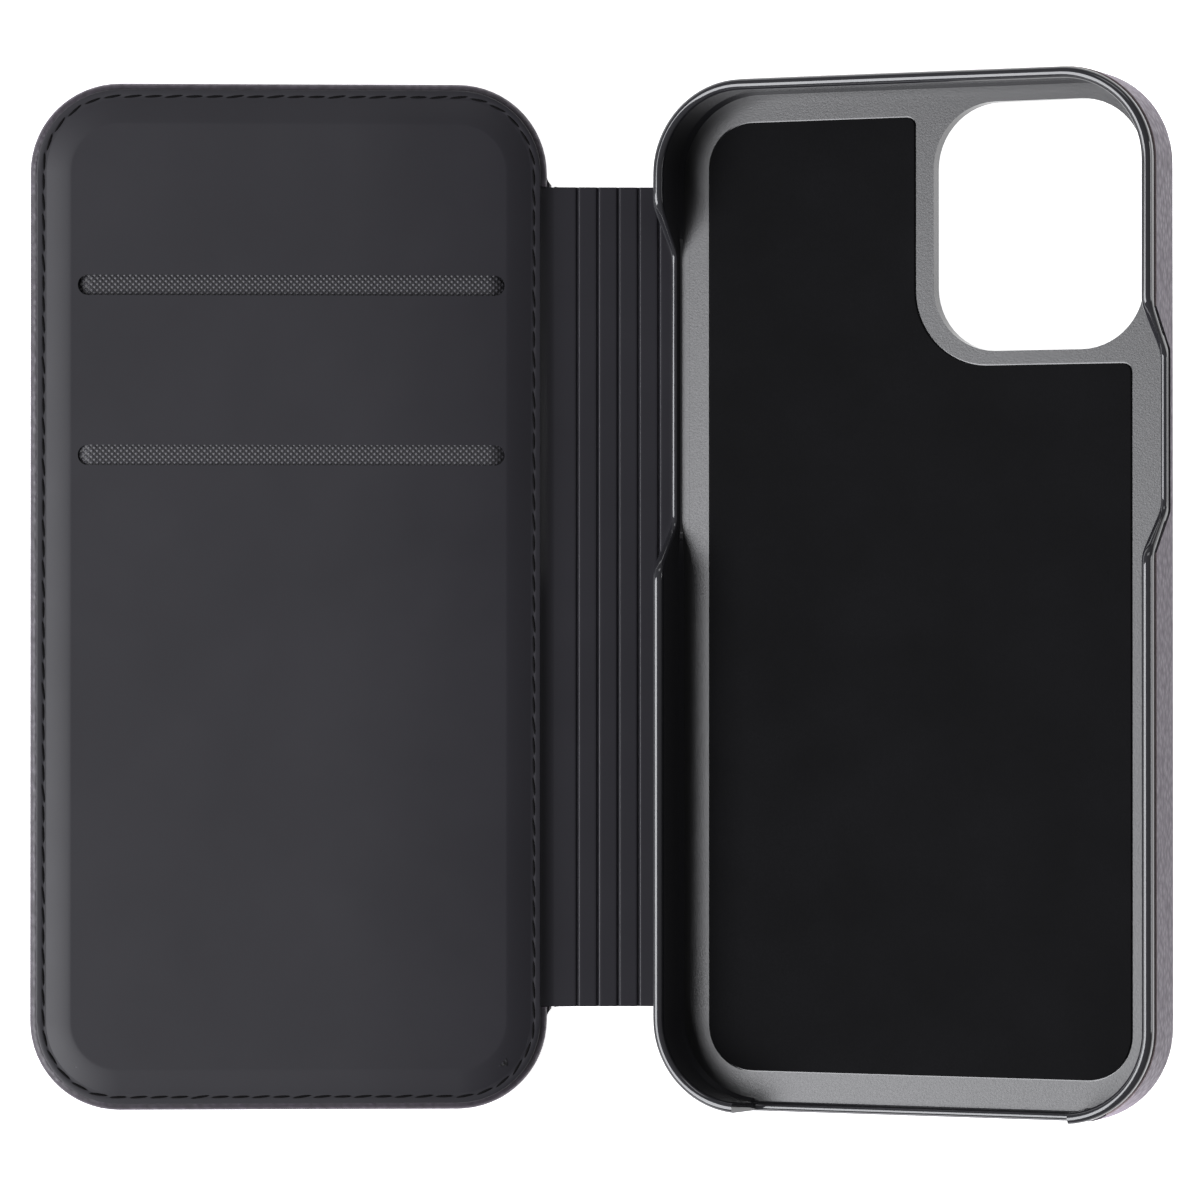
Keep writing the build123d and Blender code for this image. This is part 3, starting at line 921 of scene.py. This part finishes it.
def along_run(distance):
    """The point and direction at a distance along the rounded rectangle of the stitches."""
    straight_x = 2 * (run_x - STITCH_CORNER)
    straight_y = 2 * (run_y - STITCH_CORNER)
    quarter = STITCH_CORNER * pi / 2
    for side in range(4):
        straight = straight_y if side % 2 == 0 else straight_x
        heading = pi / 2 + side * pi / 2
        away = run_x if side % 2 == 0 else run_y
        ahead = Vector((cos(heading), sin(heading), 0))
        right = Vector((sin(heading), -cos(heading), 0))
        if distance < straight:
            return right * away + ahead * (distance - straight / 2), heading
        distance -= straight
        if distance < quarter:
            angle = distance / STITCH_CORNER
            centre = right * (away - STITCH_CORNER) + ahead * (straight / 2)
            outwards = right * cos(angle) + ahead * sin(angle)
            return centre + outwards * STITCH_CORNER, heading + angle
        distance -= quarter
    return along_run(distance)


run_length = 4 * (run_x + run_y - 2 * STITCH_CORNER) + 2 * pi * STITCH_CORNER
stitches = bmesh.new()
for index in range(STITCH_COUNT):
    point, heading = along_run(run_length * (index + 0.5) / STITCH_COUNT)
    uneven = sin(index * 2.4) + 0.6 * sin(index * 5.1)
    lean = Matrix.Rotation(heading + radians(STITCH_LEAN + LEAN_UNEVENNESS * uneven), 4, "Z")
    half_length = STITCH_HALF.x + LENGTH_UNEVENNESS * uneven
    size = Matrix.Diagonal((half_length, STITCH_HALF.y, STITCH_HALF.z, 1))
    place = Matrix.Translation((point.x, point.y, margin_level - TROUGH_DEPTH)) @ lean @ size
    bmesh.ops.create_uvsphere(stitches, u_segments=8, v_segments=6, radius=1, matrix=place)
make_piece(
    "lock_stitches", stitches, [thread], "cover", ["cover_stitching"], radians(80)
)

# %% [markdown]
# ## The folding spine
# Leather and lining run across the spine in one sheet each, and bend at the grooves. A piece can
# bend between two bodies and no more, so each sheet is made as strips that each cross one groove.
# They meet in the middle of a band, where nothing bends and no seam shows. A strip is its
# section, drawn in the XZ plane as one face and extruded along Y. The section has many points
# across the fold, because a sheet bends only where it has vertices.

# %% Strips of the spine
def strip_piece(name, section, half_length, material, replaced):
    """Carries a closed section along Y into a strip piece."""
    bm = bmesh.new()
    ring = [bm.verts.new((x, -half_length, z)) for x, z in section]
    face = bm.faces.new(ring)
    carried = bmesh.ops.extrude_face_region(bm, geom=[face])
    moved = [item for item in carried["geom"] if isinstance(item, bmesh.types.BMVert)]
    bmesh.ops.translate(bm, verts=moved, vec=(0, 2 * half_length, 0))
    bmesh.ops.recalc_face_normals(bm, faces=bm.faces)
    piece = make_piece(name, bm, [material], None, replaced)
    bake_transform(piece)
    return piece


def divided(start, end, level, count):
    """Evenly spaced points along a level stretch, so that it can bend smoothly."""
    return [(start + (end - start) * index / count, level) for index in range(count + 1)]


leather_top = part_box("spine_leather_2")[1].z
lining_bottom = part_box("spine_lining_2")[0].z
lining_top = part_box("spine_lining_2")[1].z
BEND_REACH = 0.9 * MM
STRIP_DIVISIONS = 12
band_middles = [(a + b) / 2 for a, b in zip(hinge_lines, hinge_lines[1:])]
cover_flap_end = cover_high.x
print("fold lines, mm:", [round(line / MM, 1) for line in hinge_lines])

# %% [markdown]
# ## Leather across the spine
# The leather is flat on the outside of the spine, so its strips are plain. At both ends of the
# spine the bend starts at the fold line itself and reaches further on the spine's side, since the
# cover and the tray are stiff right up to their edges.

# %% Leather across the spine
for index, line in enumerate(hinge_lines):
    first, last = index == 0, index == len(hinge_lines) - 1
    start = cover_flap_end if first else band_middles[index - 1]
    end = line if last else band_middles[index]
    bottom = divided(start, end, 0.0, STRIP_DIVISIONS)
    top = divided(end, start, leather_top, STRIP_DIVISIONS)
    replaced = [f"spine_leather_{band}" for band in (index, index + 1) if 1 <= band <= 6]
    strip_piece(
        f"spine_leather_fold_{index + 1}",
        bottom + top,
        spine_half_length,
        leather,
        replaced,
    )

# %% [markdown]
# ## Lining across the spine
# The lining is pressed down into a narrow groove over each fold line, which is what makes the
# spine bend there. A bump map would be enough from above, but the grooves show in outline at the
# ends of the spine, so they are drawn in the section. The first strip comes over the cover's edge
# and down to the spine in one curve, and the last one ends short of the tray, where the leaning
# wall needs room.

# %% Lining across the spine
GROOVE_HALF = 0.2 * MM
GROOVE_DEPTH = 0.3 * MM
SHORT_OF_TRAY = 0.6 * MM


def groove(line):
    """The section of one pressed groove: sloped sides with a narrow rounded bottom."""
    bottom = lining_top - GROOVE_DEPTH
    return [
        (line - GROOVE_HALF - 0.08 * MM, lining_top),
        (line - GROOVE_HALF, lining_top - 0.04 * MM),
        (line - 0.07 * MM, bottom + 0.03 * MM),
        (line, bottom),
        (line + 0.07 * MM, bottom + 0.03 * MM),
        (line + GROOVE_HALF, lining_top - 0.04 * MM),
        (line + GROOVE_HALF + 0.08 * MM, lining_top),
    ]


FALL_STEPS = 12
FALL_INSIDE_EDGE = 1.8
FALL_WIDTH = 2.7
PAST_FOLD = 0.25 * MM


def over_cover_edge():
    """From the cover's lining in one soft curve down to the spine."""
    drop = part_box("cover_leather")[1].z - lining_top
    points = []
    for t in (step / FALL_STEPS for step in range(FALL_STEPS + 1)):
        fallen = drop * t * t * (3 - 2 * t)
        out = (FALL_WIDTH * t - FALL_INSIDE_EDGE) * MM
        points.append((cover_half_width + out, lining_top + drop - fallen))
    return points


def under_cover_edge(line, end):
    """The hidden underside of that curve, from the spine back up inside the cover's edge."""
    spine_side = [(end, lining_bottom), (line + 0.5 * MM, lining_bottom - 0.02 * MM)]
    corner = [(cover_half_width - 0.3 * MM, lining_bottom - 0.2 * MM)]
    climb = [(cover_half_width - 0.4 * MM, 1.0 * MM)]
    return spine_side + corner + climb + [(cover_half_width - FALL_INSIDE_EDGE * MM, 1.9 * MM)]


for index, line in enumerate(hinge_lines[:-1]):
    first, last = index == 0, index == len(hinge_lines) - 2
    end = hinge_lines[-1] - SHORT_OF_TRAY if last else band_middles[index]
    if first:
        top = over_cover_edge() + divided(line + PAST_FOLD, end, lining_top, 8)
        under = under_cover_edge(line, end)
    else:
        start = band_middles[index - 1]
        top = divided(start, line - BEND_REACH, lining_top, 2)
        top += [(line - BEND_REACH * 0.6, lining_top)] + groove(line)
        top += [(line + BEND_REACH * 0.6, lining_top)]
        top += divided(line + BEND_REACH, end, lining_top, 2)
        under = divided(end, start, lining_bottom, STRIP_DIVISIONS)
    replaced = [f"spine_lining_{band}" for band in (index, index + 1) if 1 <= band <= 6]
    strip_piece(
        f"spine_lining_fold_{index + 1}",
        top + under,
        spine_half_length - 0.05 * MM,
        lining,
        replaced,
    )

# %% [markdown]
# ## The parts that stay as the CAD model has them
# The board, magnets, keeper strips and the six spine cores are hidden inside and have the right
# shape already. Remaking them would add faces that nobody sees, so they only get their finishes,
# in the material slot of their own meshes.

# %% Finishes for the inner parts
inner_finishes = {
    "cover_board": grey_board,
    "closure_magnets": nickel_plating,
    "keeper_strips": zinc_plated_steel,
}
for band in range(1, 7):
    inner_finishes[f"spine_core_{band}"] = polypropylene
for node, material in inner_finishes.items():
    mesh = frame["nodes"][node].data
    mesh.materials.clear()
    mesh.materials.append(material)
print("inner parts with a finish:", len(inner_finishes))

# %% [markdown]
# ## Floor and light
# The case lies on plain white paper. Black things show little but what they reflect, so the lights
# are chosen for their reflections. A big soft box at the left is where the leaning tray floor
# looks, and makes its satin border pale. A smaller one on the right and a strip at the far end
# draw thin bright lines along the gloss rims, and the even white of the surroundings fills the
# rest. The paper glows faintly, so that it stays white under such gentle light.

# %% White floor
FLOOR_HALF = 3.0
UNDER_CASE = 0.1 * MM
floor_mesh = bmesh.new()
bmesh.ops.create_grid(floor_mesh, x_segments=1, y_segments=1, size=FLOOR_HALF)
bmesh.ops.translate(floor_mesh, verts=floor_mesh.verts, vec=(0, 0, -UNDER_CASE))
floor_data = bpy.data.meshes.new("floor")
floor_mesh.to_mesh(floor_data)
floor_mesh.free()
floor = bpy.data.objects.new("floor", floor_data)
bpy.context.scene.collection.objects.link(floor)
paper, _, paper_shader, _ = new_material("white_paper", "#F0F0F0", 0.9)
paper_shader.inputs["Emission Color"].default_value = (1, 1, 1, 1)
paper_shader.inputs["Emission Strength"].default_value = 0.9
floor_data.materials.append(paper)
print("floor, m across:", 2 * FLOOR_HALF)

# %% Soft boxes
DAYLIGHT = (0.96, 0.965, 1.0)


def soft_box(name, place, aim, width, height, power):
    """An area light that faces a point."""
    light = bpy.data.lights.new(name, "AREA")
    light.shape = "RECTANGLE"
    light.size = width
    light.size_y = height
    light.energy = power
    light.color = DAYLIGHT
    lamp = bpy.data.objects.new(name, light)
    lamp.location = place
    lamp.rotation_euler = (Vector(aim) - Vector(place)).to_track_quat("-Z", "Y").to_euler()
    bpy.context.scene.collection.objects.link(lamp)
    print(name, "watts:", power)


middle_of_case = (0.04, 0.0, 0.01)
soft_box("left_box", (-0.72, -0.27, 0.60), middle_of_case, 0.9, 0.76, 23)
soft_box("right_box", (1.0, 0.1, 0.28), middle_of_case, 0.5, 0.3, 3)
soft_box("far_box", (0.1, 0.95, 0.7), middle_of_case, 0.6, 0.3, 1.5)
world = bpy.data.worlds.new("white_room")
bpy.context.scene.world = world
world.use_nodes = True
surroundings = world.node_tree.nodes["Background"]
surroundings.inputs["Color"].default_value = (1, 1, 1, 1)
surroundings.inputs["Strength"].default_value = 0.25
bpy.context.scene.view_settings.view_transform = "Standard"

# %% [markdown]
# ## Camera
# The camera looks nearly straight down from 0.79 m with a long lens, which keeps the cover's sides
# parallel. Aimed by hand or with a track constraint, a view so close to vertical can spin about
# its own axis, so the three axes of the camera are worked out one by one: back, away from what it
# looks at, then right, then up.

# %% Camera
camera_place = Vector((9.73, -5.68, 785.86)) * MM
camera_aim = Vector((41.55, -0.44, 0.0)) * MM
back = (camera_place - camera_aim).normalized()
right = Vector((0, 1, 0)).cross(back).normalized()
up = back.cross(right)
camera_data = bpy.data.cameras.new("camera")
camera_data.sensor_width = 36
camera_data.lens = 176.3
camera = bpy.data.objects.new("camera", camera_data)
turn = Matrix((right, up, back)).transposed().to_4x4()
camera.matrix_world = Matrix.Translation(camera_place) @ turn
bpy.context.scene.collection.objects.link(camera)
bpy.context.scene.camera = camera
print("camera height, m:", round(camera_place.z, 3), "lens, mm:", round(camera_data.lens, 1))
